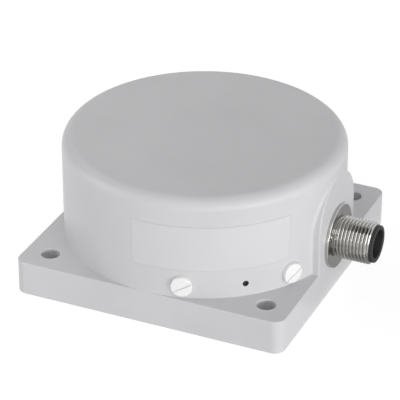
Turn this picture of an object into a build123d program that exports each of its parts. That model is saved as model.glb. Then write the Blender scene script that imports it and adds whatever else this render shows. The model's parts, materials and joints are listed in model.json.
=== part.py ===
from build123d import *
from math import cos, hypot, pi, radians, sin
import os

# Inductive distance sensor, 80 x 80 x 40 mm, with a side connector. All lengths in millimetres.
# The origin is the centre of the mounting plate's bottom face. +Z points at the sensing face,
# +X along the connector, and angles are counted from +X, anticlockwise seen from above.

# Mounting plate and round body
plate_side = 80.0
plate_thickness = 10.0
plate_corner_radius = 3.2
mounting_hole_inset = 7.5  # from the plate's sides to a mounting hole's axis
mounting_hole_radius = 2.65
body_step = 0.1  # the round body stays this far inside the plate's sides
body_height = 40.0
body_edge_radius = 3.5
body_wall = 4.0
sensing_wall = 2.5

# Base cover, its gasket and screws
cover_recess = 0.4
cover_thickness = 2.5
cover_rim = 2.0  # the least width of plate left outside the cover
cover_clearance = 0.2
gasket_thickness = 0.8
gasket_margin = 0.2
cover_screw_angles = (28.0, 102.0, 180.0, 256.0)
cover_screw_inset = 3.5  # from the cavity's wall to a cover screw's axis
cover_screw_radius = 1.45
cover_screw_head_radius = 2.8
cover_screw_length = 5.8
screw_sink = 0.1  # a countersunk head lies this far below its face
screw_slot_width = 0.7
screw_slot_depth = 0.7
thread_clearance = 0.05
hole_clearance = 0.15

# Circuit board on its standoffs
standoff_across_flats = 5.5
standoff_length = 5.1
standoff_stud_length = 6.0
standoff_bore_depth = 4.2
board_thickness = 1.6
board_edge_gap = 0.7
board_post_radius = 4.0
board_notch_half_width = 12.0
board_notch_gap = 0.4

# Ferrite core, coil and the holder under the sensing wall
core_floor = 3.0
core_post_gap = 0.7  # between the holder's rim and the posts round it
core_rim = 4.0
core_post_radius = 10.0
core_post_bore_radius = 2.6
former_clearance = 0.3
former_wall = 0.8
winding_clearance = 0.05
winding_margin = 0.7
coil_lead_count = 2
coil_lead_start_angle = 90.0
coil_lead_radius = 0.4
coil_lead_hole_radius = 1.2
holder_thickness = 2.0
holder_edge_gap = 1.9
holder_lead_gap = 2.0  # from a coil lead's axis to the holder's opening
holder_rim_height = 3.0
holder_rim_wall = 1.5
holder_post_gap = 0.6
holder_screw_angles = (80.0, 200.0, 320.0)
holder_screw_inset = 4.4  # from the cavity's wall to a holder screw's axis
holder_screw_radius = 1.2
holder_screw_head_radius = 2.5
holder_screw_head_height = 1.7
holder_screw_length = 8.0
holder_post_radius = 3.0

# Adjusting trimmers behind two screwed plugs
plug_angles = (-75.0, -30.0)
plug_slot_angles = (29.0, 30.0)
plug_axis_height = 13.8
plug_head_radius = 3.0
plug_head_height = 1.9
plug_head_edge_radius = 0.45
plug_shank_radius = 2.0
plug_shank_clearance = 0.06
plug_slot_width = 1.0
plug_slot_depth = 0.8
slot_overrun = 1.0  # a slot's cut runs this far past the head it crosses
plug_seat_sink = 0.5  # the seat lies this far below the round body's surface
plug_seat_clearance = 0.15
plug_thread_length = 3.5
plug_pad_radius = 4.0
seal_section_radius = 0.35
seal_groove_depth = 0.9
seal_clearance = 0.06
trimmer_width = 7.0
trimmer_depth = 6.0
trimmer_plug_gap = 2.4
rotor_radius = 1.9
rotor_depth = 3.0
rotor_reach = 0.5
rotor_clearance = 0.05
rotor_slot_width = 0.6
rotor_slot_depth = 0.6

# Indicator light
light_angle = -50.0
light_guide_radius = 0.95
light_guide_collar_radius = 1.6
light_guide_collar_depth = 1.5
light_guide_clearance = 0.05
led_radius = 1.5
led_length = 3.9
led_flange_radius = 1.9
led_flange_depth = 0.8
led_leg_width = 0.5
led_leg_spacing = 2.54

# Connector boss and round M12 x 1 connector
boss_half_width = 13.0
boss_top_gap = 5.0  # from the sensing face down to the boss's top
boss_edge_radius = 0.8
boss_blend_radius = 1.2
boss_depth = 10.0
connector_height = 16.0
connector_pad_radius = 10.5
connector_pad_depth = 5.5
shell_radius = 6.0
shell_bore_radius = 4.85
shell_hole_clearance = 0.1
shell_tail_length = 9.8
shell_flange_radius = 9.2
shell_flange_thickness = 1.4
shell_flange_chamfer = 0.25
shell_groove_radius = 5.35
shell_groove_width = 0.8
shell_thread_length = 9.0
shell_end_chamfer = 0.5
connector_seal_thickness = 0.8
connector_seal_width = 1.25
connector_seal_clearance = 0.12
washer_radius = 7.4
washer_thickness = 0.8
nut_across_flats = 15.0
nut_thickness = 3.0
nut_holder_gap = 0.5
insert_radius = 4.8
insert_lip_radius = 5.3
insert_lip_thickness = 1.0
insert_tail_length = 10.0
socket_radius = 4.1
socket_depth = 9.5
socket_chamfer = 0.3
key_width = 1.0
key_height = 0.6
contact_count = 4
contact_start_angle = 45.0
contact_radius = 0.5
contact_tip_radius = 0.25
contact_circle_radius = 2.5
contact_tip_depth = 4.2  # how far a contact's tip lies behind the insert's lip
contact_tail_length = 0.6
contact_clearance = 0.04
connector_board_thickness = 1.2
connector_board_gap = 0.8
connector_board_half_width = 8.0
connector_board_top_gap = 0.6
link_header_depth = 2.5
link_header_width = 10.0
link_header_height = 2.5

# Bare label field on the round wall
label_start_angle = -95.5
label_end_angle = -31.0
label_plate_gap = 8.5
label_top_gap = 8.0
label_thickness = 0.2
label_gap = 0.12
label_bond = 0.02

# Components on the circuit board
chip_side = 10.0
chip_height = 1.6
chip_place = (-6.0, -3.0)
chip_lead_pitch = 1.27
chip_leads_per_side = 7
chip_lead_width = 0.45
chip_lead_height = 0.8
chip_lead_reach = 1.2
capacitor_radius = 3.15
capacitor_height = 7.0
capacitor_places = ((-16.0, 12.0), (-7.0, 14.0))
capacitor_edge_radius = 0.4
regulator_length = 6.5
regulator_width = 3.5
regulator_height = 1.7
regulator_place = (12.0, 8.0)
crystal_length = 11.0
crystal_width = 4.6
crystal_height = 3.4
crystal_place = (-4.0, 5.5)
passive_length = 2.0
passive_width = 1.25
passive_height = 0.6
passive_pitch = 3.2
passive_rows = 2
passive_columns = 3
passive_place = (12.0, -2.0)

# Places worked out from the sizes above
body_radius = plate_side / 2 - body_step
cavity_radius = body_radius - body_wall
cavity_top = body_height - sensing_wall
mounting_hole_spacing = plate_side - 2 * mounting_hole_inset
cover_pocket_radius = plate_side / 2 - cover_rim
cover_top = cover_recess + cover_thickness
cover_ledge = cover_top + gasket_thickness
board_bottom = cover_top + standoff_length
board_top = board_bottom + board_thickness
board_radius = cavity_radius - board_edge_gap
cover_screw_circle_radius = cavity_radius - cover_screw_inset
holder_screw_circle_radius = cavity_radius - holder_screw_inset
holder_radius = cavity_radius - holder_edge_gap
holder_bottom = connector_height + nut_across_flats / 2 + nut_holder_gap
core_bottom = holder_bottom + holder_thickness
core_height = cavity_top - core_bottom
holder_rim_radius = holder_screw_circle_radius - holder_post_radius - core_post_gap
core_radius = holder_rim_radius - holder_rim_wall - former_clearance
coil_lead_circle_radius = (core_post_radius + core_radius - core_rim) / 2
holder_opening_radius = coil_lead_circle_radius + holder_lead_gap
winding_floor = core_bottom + core_floor + former_wall
plug_seat_radius = body_radius - plug_seat_sink
plug_thread_start_radius = plug_seat_radius - seal_groove_depth
plug_pad_inner_radius = plug_thread_start_radius - plug_thread_length
plug_bore_radius = plug_shank_radius + plug_shank_clearance
seal_groove_radius = plug_shank_radius + 2 * seal_section_radius + 2 * seal_clearance
trimmer_front_radius = plug_pad_inner_radius - trimmer_plug_gap
trimmer_height = 2 * (plug_axis_height - board_top)
boss_face_x = plate_side / 2
boss_arc_height = body_height - boss_top_gap - boss_half_width
connector_pad_x = boss_face_x - connector_pad_depth
shell_groove_x = boss_face_x + shell_flange_thickness
shell_thread_x = shell_groove_x + shell_groove_width
shell_end_x = shell_thread_x + shell_thread_length
insert_front_x = shell_end_x + insert_lip_thickness
insert_back_x = boss_face_x - insert_tail_length
socket_floor_x = insert_front_x - socket_depth
connector_board_x = insert_back_x - connector_board_gap
connector_board_height = holder_bottom - connector_board_top_gap - board_top
board_notch_x = connector_board_x + board_notch_gap
label_bottom = plate_thickness + label_plate_gap
label_top = body_height - label_top_gap
countersink_depth = cover_screw_head_radius - cover_screw_radius


def ring_places(radius, angles):
    """Points on a circle about the sensor's axis."""
    return [(radius * cos(radians(a)), radius * sin(radians(a))) for a in angles]


def wall_plane(angle, radius, height):
    """A plane that faces outwards, at a radius and height, with its own Y pointing up."""
    direction = (cos(radians(angle)), sin(radians(angle)), 0)
    sideways = (-direction[1], direction[0], 0)
    origin = (radius * direction[0], radius * direction[1], height)
    return Plane(origin=origin, x_dir=sideways, z_dir=direction)


def radial_plane(angle):
    """An upright plane through the sensor's axis, with its own X pointing outwards."""
    outwards = (cos(radians(angle)), sin(radians(angle)), 0)
    return Plane(origin=(0, 0, 0), x_dir=outwards, z_dir=(outwards[1], -outwards[0], 0))


def connector_plane(x):
    """A plane across the connector's axis, with its own X along +Y and its own Y pointing up."""
    return Plane(origin=(x, 0, connector_height), x_dir=(0, 1, 0), z_dir=(1, 0, 0))


def is_on_round_wall(edge):
    """True for an edge that runs up or over the round wall, above the plate."""
    middle = edge.position_at(0.5)
    off_wall = abs(hypot(middle.X, middle.Y) - body_radius)
    return middle.Z > plate_thickness and off_wall < body_step / 10


connector_axis = Axis((0, 0, connector_height), (1, 0, 0))
connector_section = Plane(origin=(0, 0, connector_height), x_dir=(1, 0, 0), z_dir=(0, -1, 0))


# The boss that carries the connector: an arched pad, flush with the plate's side, whose edge
# runs into the round wall where the two meet
with BuildPart() as boss_form:
    with BuildSketch(Plane.YZ.offset(boss_face_x)) as boss_outline:
        with BuildLine():
            RadiusArc(
                (-boss_half_width, boss_arc_height),
                (boss_half_width, boss_arc_height),
                boss_half_width,
            )
            Polyline(
                (boss_half_width, boss_arc_height),
                (boss_half_width, plate_thickness / 2),
                (-boss_half_width, plate_thickness / 2),
                (-boss_half_width, boss_arc_height),
            )
        make_face()
    extrude(amount=-boss_depth)
    fillet(boss_form.faces().sort_by(Axis.X)[-1].edges(), boss_edge_radius)

# Housing: plate, round cup and boss moulded in one, open at the bottom
with BuildPart() as housing:
    with BuildSketch():
        RectangleRounded(plate_side, plate_side, plate_corner_radius)
    extrude(amount=plate_thickness)
    with BuildSketch():
        Circle(body_radius)
    extrude(amount=body_height)
    fillet(
        housing.edges().filter_by(GeomType.CIRCLE).sort_by(Axis.Z)[-1],
        body_edge_radius,
    )
    add(boss_form.part)
    blend_edges = housing.edges(Select.NEW).filter_by(is_on_round_wall)
    fillet(blend_edges, boss_blend_radius)

    # The hollow, with a wider pocket for the cover and its gasket
    with BuildSketch():
        Circle(cavity_radius)
    extrude(amount=cavity_top, mode=Mode.SUBTRACT)
    with BuildSketch():
        Circle(cover_pocket_radius)
    extrude(amount=cover_ledge, mode=Mode.SUBTRACT)

    # Posts for the board's standoffs and for the core holder
    with BuildSketch(Plane.XY.offset(board_top)):
        with Locations(ring_places(cover_screw_circle_radius, cover_screw_angles)):
            Circle(board_post_radius)
    extrude(amount=cavity_top - board_top)
    with BuildSketch(Plane.XY.offset(core_bottom)):
        with Locations(ring_places(holder_screw_circle_radius, holder_screw_angles)):
            Circle(holder_post_radius)
    extrude(amount=cavity_top - core_bottom)

    # Thick pads where the plugs and the connector pass through the wall
    for angle in plug_angles:
        with BuildSketch(wall_plane(angle, plug_pad_inner_radius, plug_axis_height)):
            Circle(plug_pad_radius)
        extrude(amount=plug_seat_radius - plug_pad_inner_radius)
    with BuildSketch(connector_plane(connector_pad_x)):
        Circle(connector_pad_radius)
    extrude(amount=boss_face_x - connector_pad_x - boss_edge_radius)

    # Screw holes in the posts
    with BuildSketch(Plane.XY.offset(board_top)):
        with Locations(ring_places(cover_screw_circle_radius, cover_screw_angles)):
            Circle(cover_screw_radius + thread_clearance)
    extrude(amount=standoff_stud_length, mode=Mode.SUBTRACT)
    with BuildSketch(Plane.XY.offset(core_bottom)):
        with Locations(ring_places(holder_screw_circle_radius, holder_screw_angles)):
            Circle(holder_screw_radius + thread_clearance)
    extrude(amount=holder_screw_length, mode=Mode.SUBTRACT)

    # Mounting holes
    with BuildSketch():
        with GridLocations(mounting_hole_spacing, mounting_hole_spacing, 2, 2):
            Circle(mounting_hole_radius)
    extrude(amount=plate_thickness, mode=Mode.SUBTRACT)

    # Seat, seal groove and threaded hole of each plug
    for angle in plug_angles:
        with BuildSketch(wall_plane(angle, plug_seat_radius, plug_axis_height)):
            Circle(plug_head_radius + plug_seat_clearance)
        extrude(amount=plug_head_height, mode=Mode.SUBTRACT)
        with BuildSketch(wall_plane(angle, plug_thread_start_radius, plug_axis_height)):
            Circle(seal_groove_radius)
        extrude(amount=seal_groove_depth, mode=Mode.SUBTRACT)
        with BuildSketch(wall_plane(angle, plug_pad_inner_radius, plug_axis_height)):
            Circle(plug_bore_radius)
        extrude(amount=plug_thread_length, mode=Mode.SUBTRACT)

    # Hole of the light guide
    with BuildSketch(wall_plane(light_angle, cavity_radius - body_wall / 2, plug_axis_height)):
        Circle(light_guide_radius + light_guide_clearance)
    extrude(amount=2 * body_wall, mode=Mode.SUBTRACT)

    # Hole of the connector, with a counterbore for its seal
    with BuildSketch(connector_plane(connector_pad_x)):
        Circle(shell_radius + shell_hole_clearance)
    extrude(amount=boss_face_x - connector_pad_x, mode=Mode.SUBTRACT)
    with BuildSketch(connector_plane(boss_face_x - connector_seal_thickness)):
        Circle(shell_radius + connector_seal_width + 2 * connector_seal_clearance)
    extrude(amount=connector_seal_thickness, mode=Mode.SUBTRACT)

    # Shallow field for the label
    with BuildSketch(radial_plane(label_start_angle)):
        with Locations((body_radius, (label_bottom + label_top) / 2)):
            Rectangle(2 * label_thickness, label_top - label_bottom)
    revolve(
        axis=Axis.Z,
        revolution_arc=label_end_angle - label_start_angle,
        mode=Mode.SUBTRACT,
    )
housing.part.label = "housing"

# Base cover, set back from the plate's bottom face
with BuildPart() as base_cover:
    with BuildSketch(Plane.XY.offset(cover_recess)):
        Circle(cover_pocket_radius - cover_clearance)
    extrude(amount=cover_thickness)
    with BuildSketch(Plane.XY.offset(cover_recess)):
        with Locations(ring_places(cover_screw_circle_radius, cover_screw_angles)):
            Circle(cover_screw_radius + hole_clearance)
    extrude(amount=cover_thickness, mode=Mode.SUBTRACT)
    for x, y in ring_places(cover_screw_circle_radius, cover_screw_angles):
        with Locations((x, y, cover_recess + countersink_depth / 2)):
            Cone(
                cover_screw_head_radius + hole_clearance,
                cover_screw_radius + hole_clearance,
                countersink_depth,
                mode=Mode.SUBTRACT,
            )
base_cover.part.label = "base_cover"

# Flat gasket between the cover and the housing's ledge
with BuildPart() as cover_gasket:
    with BuildSketch(Plane.XY.offset(cover_top)):
        Circle(cover_pocket_radius - cover_clearance)
        Circle(cavity_radius + gasket_margin, mode=Mode.SUBTRACT)
    extrude(amount=gasket_thickness)
cover_gasket.part.label = "cover_gasket"

# Countersunk cover screws
with BuildPart() as cover_screws:
    head_bottom = cover_recess + screw_sink
    for x, y in ring_places(cover_screw_circle_radius, cover_screw_angles):
        with Locations((x, y, head_bottom + countersink_depth / 2)):
            Cone(cover_screw_head_radius, cover_screw_radius, countersink_depth)
        with Locations((x, y, head_bottom + cover_screw_length / 2)):
            Cylinder(cover_screw_radius, cover_screw_length)
        with Locations((x, y, head_bottom + screw_slot_depth / 2)):
            Box(
                2 * cover_screw_head_radius,
                screw_slot_width,
                screw_slot_depth,
                mode=Mode.SUBTRACT,
            )
cover_screws.part.label = "cover_screws"

# Hexagonal standoffs: the stud holds the board on its post, the bore takes a cover screw
with BuildPart() as board_standoffs:
    standoff_places = ring_places(cover_screw_circle_radius, cover_screw_angles)
    with BuildSketch(Plane.XY.offset(cover_top)):
        with Locations(standoff_places):
            RegularPolygon(standoff_across_flats / 2, 6, major_radius=False)
    extrude(amount=standoff_length)
    with BuildSketch(Plane.XY.offset(board_bottom)):
        with Locations(standoff_places):
            Circle(cover_screw_radius)
    extrude(amount=board_thickness + standoff_stud_length - thread_clearance)
    with BuildSketch(Plane.XY.offset(cover_top)):
        with Locations(standoff_places):
            Circle(cover_screw_radius + thread_clearance)
    extrude(amount=standoff_bore_depth, mode=Mode.SUBTRACT)
board_standoffs.part.label = "board_standoffs"

# Round circuit board, notched under the connector
with BuildPart() as circuit_board:
    with BuildSketch(Plane.XY.offset(board_bottom)):
        Circle(board_radius)
        with Locations(((board_notch_x + board_radius) / 2, 0)):
            Rectangle(
                board_radius - board_notch_x,
                2 * board_notch_half_width,
                mode=Mode.SUBTRACT,
            )
        with Locations(standoff_places):
            Circle(cover_screw_radius + hole_clearance, mode=Mode.SUBTRACT)
    extrude(amount=board_thickness)
circuit_board.part.label = "circuit_board"

# Pot core, open towards the sensing wall
coil_lead_angles = [coil_lead_start_angle + 360 / coil_lead_count * i for i in range(coil_lead_count)]
coil_lead_places = ring_places(coil_lead_circle_radius, coil_lead_angles)
with BuildPart() as ferrite_core:
    with BuildSketch(Plane.XY.offset(core_bottom)):
        Circle(core_radius)
    extrude(amount=core_height)
    with BuildSketch(Plane.XY.offset(core_bottom + core_floor)):
        Circle(core_radius - core_rim)
        Circle(core_post_radius, mode=Mode.SUBTRACT)
    extrude(amount=core_height - core_floor, mode=Mode.SUBTRACT)
    with BuildSketch(Plane.XY.offset(core_bottom)):
        Circle(core_post_bore_radius)
        with Locations(coil_lead_places):
            Circle(coil_lead_hole_radius)
    extrude(amount=core_height, mode=Mode.SUBTRACT)
ferrite_core.part.label = "ferrite_core"

# Coil former: a spool that drops over the core's post
former_bottom = core_bottom + core_floor
former_top = cavity_top - former_wall
former_bore_radius = core_post_radius + former_clearance
former_flange_radius = core_radius - core_rim - former_clearance
with BuildPart() as coil_former:
    with BuildSketch(radial_plane(0)):
        with BuildLine():
            Polyline(
                (former_bore_radius, former_bottom),
                (former_flange_radius, former_bottom),
                (former_flange_radius, former_bottom + former_wall),
                (former_bore_radius + former_wall, former_bottom + former_wall),
                (former_bore_radius + former_wall, former_top - former_wall),
                (former_flange_radius, former_top - former_wall),
                (former_flange_radius, former_top),
                (former_bore_radius, former_top),
                close=True,
            )
        make_face()
    revolve(axis=Axis.Z)
coil_former.part.label = "coil_former"

# Wire winding on the former
with BuildPart() as coil_winding:
    with BuildSketch(Plane.XY.offset(winding_floor + winding_clearance)):
        Circle(former_flange_radius - winding_margin)
        Circle(former_bore_radius + former_wall + winding_clearance, mode=Mode.SUBTRACT)
    extrude(amount=former_top - former_wall - winding_floor - 2 * winding_clearance)
coil_winding.part.label = "coil_winding"

# Stiff wires from the former down to the board
with BuildPart() as coil_leads:
    with BuildSketch(Plane.XY.offset(board_top)):
        with Locations(coil_lead_places):
            Circle(coil_lead_radius)
    extrude(amount=former_bottom - board_top)
coil_leads.part.label = "coil_leads"

# Holder that presses the core against the sensing wall
with BuildPart() as core_holder:
    with BuildSketch(Plane.XY.offset(holder_bottom)):
        Circle(holder_radius)
        Circle(holder_opening_radius, mode=Mode.SUBTRACT)
        with Locations(standoff_places):
            Circle(board_post_radius + holder_post_gap, mode=Mode.SUBTRACT)
        with Locations(ring_places(holder_screw_circle_radius, holder_screw_angles)):
            Circle(holder_screw_radius + hole_clearance, mode=Mode.SUBTRACT)
    extrude(amount=holder_thickness)
    with BuildSketch(Plane.XY.offset(core_bottom)):
        Circle(holder_rim_radius)
        Circle(holder_rim_radius - holder_rim_wall, mode=Mode.SUBTRACT)
    extrude(amount=holder_rim_height)
core_holder.part.label = "core_holder"

# Pan-head screws of the holder
with BuildPart() as holder_screws:
    for x, y in ring_places(holder_screw_circle_radius, holder_screw_angles):
        with Locations((x, y, holder_bottom - holder_screw_head_height / 2)):
            Cylinder(holder_screw_head_radius, holder_screw_head_height)
        with Locations((x, y, holder_bottom + holder_screw_length / 2)):
            Cylinder(holder_screw_radius, holder_screw_length)
        slot_middle = holder_bottom - holder_screw_head_height + screw_slot_depth / 2
        with Locations((x, y, slot_middle)):
            Box(
                2 * holder_screw_head_radius,
                screw_slot_width,
                screw_slot_depth,
                mode=Mode.SUBTRACT,
            )
holder_screws.part.label = "holder_screws"

# Control chip with leads on two sides
with BuildPart() as control_chip:
    with BuildSketch(Plane.XY.offset(board_top)):
        with Locations(chip_place):
            Rectangle(chip_side, chip_side)
    extrude(amount=chip_height)
    with BuildSketch(Plane.XY.offset(board_top)):
        with Locations(chip_place):
            with GridLocations(chip_side, chip_lead_pitch, 2, chip_leads_per_side):
                Rectangle(2 * chip_lead_reach, chip_lead_width)
    extrude(amount=chip_lead_height)
control_chip.part.label = "control_chip"

# Pair of electrolytic capacitors
with BuildPart() as capacitors:
    with BuildSketch(Plane.XY.offset(board_top)):
        with Locations(capacitor_places):
            Circle(capacitor_radius)
    extrude(amount=capacitor_height)
    fillet(
        capacitors.faces().filter_by(Axis.Z).group_by(Axis.Z)[-1].edges(),
        capacitor_edge_radius,
    )
capacitors.part.label = "capacitors"

with BuildPart() as voltage_regulator:
    with BuildSketch(Plane.XY.offset(board_top)):
        with Locations(regulator_place):
            Rectangle(regulator_width, regulator_length)
    extrude(amount=regulator_height)
voltage_regulator.part.label = "voltage_regulator"

# Quartz crystal in its oval can
with BuildPart() as clock_crystal:
    with BuildSketch(Plane.XY.offset(board_top)):
        with Locations(crystal_place):
            SlotOverall(crystal_length, crystal_width)
    extrude(amount=crystal_height)
clock_crystal.part.label = "clock_crystal"

# Small chip resistors and capacitors
with BuildPart() as chip_passives:
    with BuildSketch(Plane.XY.offset(board_top)):
        with Locations(passive_place):
            with GridLocations(passive_pitch, passive_pitch, passive_rows, passive_columns):
                Rectangle(passive_length, passive_width)
    extrude(amount=passive_height)
chip_passives.part.label = "chip_passives"


def make_plug(angle, slot_angle):
    """Slotted plug: a round head on its seat, with a shank that fills the threaded hole."""
    with BuildPart() as plug:
        with BuildSketch(wall_plane(angle, plug_seat_radius, plug_axis_height)):
            Circle(plug_head_radius)
        extrude(amount=plug_head_height)
        head_rim = plug.edges().filter_by(GeomType.CIRCLE)
        outermost = head_rim.sort_by_distance((0, 0, plug_axis_height))[-1]
        fillet(outermost, plug_head_edge_radius)
        with BuildSketch(wall_plane(angle, plug_pad_inner_radius, plug_axis_height)):
            Circle(plug_shank_radius)
        extrude(amount=plug_seat_radius - plug_pad_inner_radius)
        slot_floor_radius = plug_seat_radius + plug_head_height - plug_slot_depth
        with BuildSketch(wall_plane(angle, slot_floor_radius, plug_axis_height)):
            slot_length = 2 * (plug_head_radius + slot_overrun)
            Rectangle(slot_length, plug_slot_width, rotation=slot_angle)
        extrude(amount=2 * plug_slot_depth, mode=Mode.SUBTRACT)
    return plug


def make_plug_seal(angle):
    """O-ring round the plug's shank, in the groove under its head."""
    ring_radius = plug_shank_radius + seal_section_radius + seal_clearance
    ring_centre = wall_plane(
        angle,
        plug_seat_radius - seal_section_radius - seal_clearance,
        plug_axis_height,
    )
    with BuildPart() as seal:
        with Locations(ring_centre.location):
            Torus(ring_radius, seal_section_radius)
    return seal


def make_trimmer_body(angle):
    """Trimmer housing that stands on the board, with a round seat for its rotor."""
    with BuildPart() as body:
        back_radius = trimmer_front_radius - trimmer_depth
        with BuildSketch(wall_plane(angle, back_radius, plug_axis_height)):
            Rectangle(trimmer_width, trimmer_height)
        extrude(amount=trimmer_depth)
        seat_radius = trimmer_front_radius - rotor_depth
        with BuildSketch(wall_plane(angle, seat_radius, plug_axis_height)):
            Circle(rotor_radius + rotor_clearance)
        extrude(amount=rotor_depth, mode=Mode.SUBTRACT)
    return body


def make_trimmer_rotor(angle):
    """Slotted rotor, turned with a screwdriver once the plug is out."""
    with BuildPart() as rotor:
        with BuildSketch(
            wall_plane(angle, trimmer_front_radius - rotor_depth, plug_axis_height)
        ):
            Circle(rotor_radius)
        extrude(amount=rotor_depth + rotor_reach)
        slot_floor_radius = trimmer_front_radius + rotor_reach - rotor_slot_depth
        with BuildSketch(wall_plane(angle, slot_floor_radius, plug_axis_height)):
            Rectangle(2 * (rotor_radius + slot_overrun), rotor_slot_width)
        extrude(amount=2 * rotor_slot_depth, mode=Mode.SUBTRACT)
    return rotor


numbered_pieces = []
for number, (angle, slot_angle) in enumerate(zip(plug_angles, plug_slot_angles), start=1):
    plug = make_plug(angle, slot_angle)
    plug.part.label = f"plug_{number}"
    plug_seal = make_plug_seal(angle)
    plug_seal.part.label = f"plug_{number}_seal"
    trimmer_body = make_trimmer_body(angle)
    trimmer_body.part.label = f"trimmer_{number}_body"
    trimmer_rotor = make_trimmer_rotor(angle)
    trimmer_rotor.part.label = f"trimmer_{number}_rotor"
    numbered_pieces += [plug, plug_seal, trimmer_body, trimmer_rotor]

# Dark light guide, flush with the wall, with a collar inside
guide_back_radius = cavity_radius - light_guide_collar_depth
with BuildPart() as light_guide:
    with BuildSketch(wall_plane(light_angle, guide_back_radius, plug_axis_height)):
        Circle(light_guide_radius)
    extrude(amount=body_radius - guide_back_radius)
    with BuildSketch(wall_plane(light_angle, guide_back_radius, plug_axis_height)):
        Circle(light_guide_collar_radius)
    extrude(amount=light_guide_collar_depth - cover_clearance)
light_guide.part.label = "light_guide"

# Indicator light behind the guide, on two bent legs
led_back_radius = guide_back_radius - led_length
with BuildPart() as indicator_led:
    with BuildSketch(wall_plane(light_angle, led_back_radius, plug_axis_height)):
        Circle(led_radius)
    extrude(amount=led_length)
    with BuildSketch(wall_plane(light_angle, led_back_radius, plug_axis_height)):
        Circle(led_flange_radius)
    extrude(amount=led_flange_depth)
    leg_height = plug_axis_height - board_top
    with BuildSketch(wall_plane(light_angle, led_back_radius, plug_axis_height)):
        with Locations((0, -leg_height / 2)):
            with GridLocations(led_leg_spacing, leg_height, 2, 1):
                Rectangle(led_leg_width, leg_height)
    extrude(amount=-led_leg_width)
indicator_led.part.label = "indicator_led"

# Metal shell of the connector, turned about its axis
with BuildPart() as connector_shell:
    tail_x = boss_face_x - shell_tail_length
    with BuildSketch(connector_section):
        with BuildLine():
            Polyline(
                (tail_x, shell_bore_radius),
                (tail_x, shell_radius),
                (boss_face_x, shell_radius),
                (boss_face_x, shell_flange_radius),
                (shell_groove_x - shell_flange_chamfer, shell_flange_radius),
                (shell_groove_x, shell_flange_radius - shell_flange_chamfer),
                (shell_groove_x, shell_groove_radius),
                (shell_thread_x, shell_groove_radius),
                (shell_thread_x, shell_radius),
                (shell_end_x - shell_end_chamfer, shell_radius),
                (shell_end_x, shell_radius - shell_end_chamfer),
                (shell_end_x, shell_bore_radius),
                close=True,
            )
        make_face()
    revolve(axis=connector_axis)
connector_shell.part.label = "connector_shell"

# Seal ring under the shell's flange
with BuildPart() as connector_seal:
    with BuildSketch(connector_plane(boss_face_x - connector_seal_thickness)):
        Circle(shell_radius + connector_seal_width + connector_seal_clearance)
        Circle(shell_radius + connector_seal_clearance, mode=Mode.SUBTRACT)
    extrude(amount=connector_seal_thickness)
connector_seal.part.label = "connector_seal"

# Washer and nut that hold the shell from inside
with BuildPart() as connector_washer:
    with BuildSketch(connector_plane(connector_pad_x - washer_thickness)):
        Circle(washer_radius)
        Circle(shell_radius + shell_hole_clearance, mode=Mode.SUBTRACT)
    extrude(amount=washer_thickness)
connector_washer.part.label = "connector_washer"

with BuildPart() as connector_nut:
    with BuildSketch(connector_plane(connector_pad_x - washer_thickness - nut_thickness)):
        RegularPolygon(nut_across_flats / 2, 6, major_radius=False)
        Circle(shell_radius + thread_clearance, mode=Mode.SUBTRACT)
    extrude(amount=nut_thickness)
connector_nut.part.label = "connector_nut"

# Insert with its round socket, coding key and contact holes
contact_angles = [contact_start_angle + 360 / contact_count * i for i in range(contact_count)]
contact_places = ring_places(contact_circle_radius, contact_angles)
with BuildPart() as connector_insert:
    with BuildSketch(connector_plane(insert_back_x)):
        Circle(insert_radius)
    extrude(amount=shell_end_x - insert_back_x)
    with BuildSketch(connector_plane(shell_end_x)):
        Circle(insert_lip_radius)
    extrude(amount=insert_lip_thickness)
    with BuildSketch(connector_plane(socket_floor_x)):
        Circle(socket_radius)
    extrude(amount=socket_depth, mode=Mode.SUBTRACT)
    mouth_edges = connector_insert.faces().sort_by(Axis.X)[-1].edges()
    chamfer(mouth_edges, socket_chamfer)
    with BuildSketch(connector_plane(socket_floor_x)):
        with Locations((0, socket_radius - key_height / 2)):
            Rectangle(key_width, 2 * key_height)
    extrude(amount=socket_depth - insert_lip_thickness)
    with BuildSketch(connector_plane(insert_back_x)):
        with Locations(contact_places):
            Circle(contact_radius + contact_clearance)
    extrude(amount=socket_floor_x - insert_back_x, mode=Mode.SUBTRACT)
connector_insert.part.label = "connector_insert"


def make_contact(place):
    """Round contact with a rounded tip, soldered into the connector board."""
    contact_back_x = connector_board_x - connector_board_thickness - contact_tail_length
    tip_x = insert_front_x - contact_tip_depth
    with BuildPart() as contact:
        with BuildSketch(connector_plane(contact_back_x)):
            with Locations(place):
                Circle(contact_radius)
        extrude(amount=tip_x - contact_back_x)
        fillet(contact.faces().sort_by(Axis.X)[-1].edges(), contact_tip_radius)
    return contact


for number, place in enumerate(contact_places, start=1):
    contact_pin = make_contact(place)
    contact_pin.part.label = f"contact_pin_{number}"
    numbered_pieces.append(contact_pin)

# Upright board that joins the contacts to the main board
with BuildPart() as connector_board:
    board_middle = board_top + connector_board_height / 2 - connector_height
    with BuildSketch(connector_plane(connector_board_x - connector_board_thickness)):
        with Locations((0, board_middle)):
            Rectangle(2 * connector_board_half_width, connector_board_height)
        with Locations(contact_places):
            Circle(contact_radius + contact_clearance, mode=Mode.SUBTRACT)
    extrude(amount=connector_board_thickness)
connector_board.part.label = "connector_board"

# Header block in the corner between the two boards
with BuildPart() as link_header:
    header_x = connector_board_x - connector_board_thickness - link_header_depth / 2
    with BuildSketch(Plane.XY.offset(board_top)):
        with Locations((header_x, 0)):
            Rectangle(link_header_depth, link_header_width)
    extrude(amount=link_header_height)
link_header.part.label = "link_header"

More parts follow.
